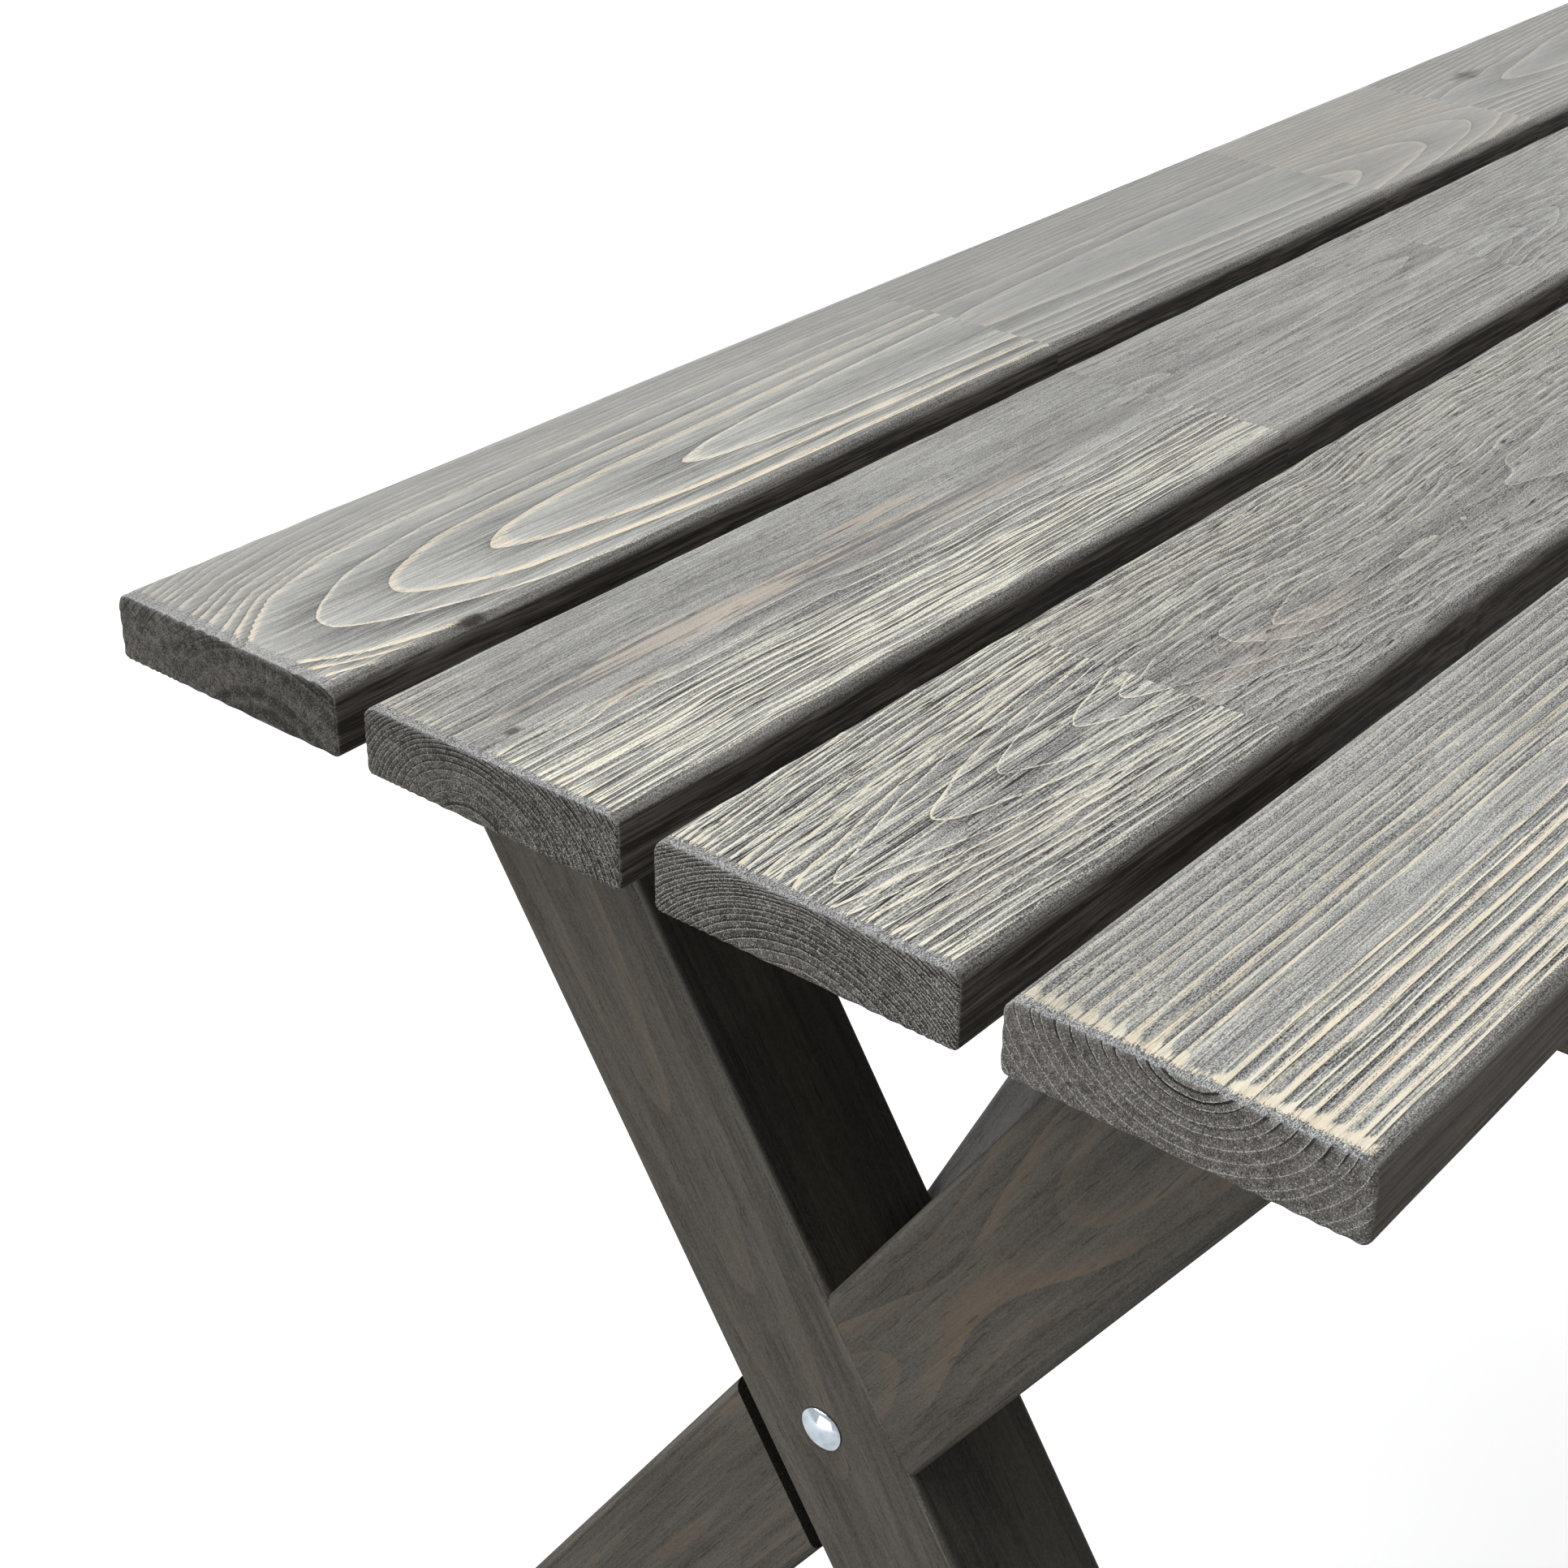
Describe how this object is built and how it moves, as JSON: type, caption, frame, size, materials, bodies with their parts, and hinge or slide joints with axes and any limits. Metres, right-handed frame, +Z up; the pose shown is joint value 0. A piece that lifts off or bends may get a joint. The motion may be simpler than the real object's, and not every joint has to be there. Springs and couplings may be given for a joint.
{
  "type": "picnic table bench",
  "caption": "Narrow slatted outdoor top on cross-halved X legs, with cleats under the boards and diagonal braces along the middle, to sit at or on.",
  "frame": {"origin": "on the floor under the middle of the top", "axes": "+X along the boards from the near end to the far end, +Y across the boards towards the first board, +Z up"},
  "size_m": [1.5, 0.5894, 0.72],
  "materials": {
    "stained_slat": "brushed softwood under a thin dark grey stain, the hard grain lines worn pale",
    "stained_leg": "planed softwood under a dark grey-brown stain, satin",
    "stained_rail": "planed softwood under a dark grey-brown stain, satin",
    "zinc_steel": "bright zinc plate",
    "screw_steel": "dull plated steel"
  },
  "bodies": {
    "root": {"top_slat_1": "stained_slat", "top_slat_2": "stained_slat", "top_slat_3": "stained_slat", "top_slat_4": "stained_slat", "near_leg_a": "stained_leg", "near_leg_b": "stained_leg", "near_cleat": "stained_rail", "near_brace": "stained_rail", "near_crossing_bolt": "zinc_steel", "near_leg_bolts": "zinc_steel", "near_cleat_screws": "screw_steel", "far_leg_a": "stained_leg", "far_leg_b": "stained_leg", "far_cleat": "stained_rail", "far_brace": "stained_rail", "far_crossing_bolt": "zinc_steel", "far_leg_bolts": "zinc_steel", "far_cleat_screws": "screw_steel", "centre_cleat": "stained_rail", "crossing_washers": "zinc_steel", "crossing_nuts": "zinc_steel", "leg_washers": "zinc_steel", "leg_nuts": "zinc_steel", "centre_cleat_screws": "screw_steel", "brace_foot_screws": "screw_steel", "brace_head_screws": "screw_steel"}
  },
  "joints": []
}
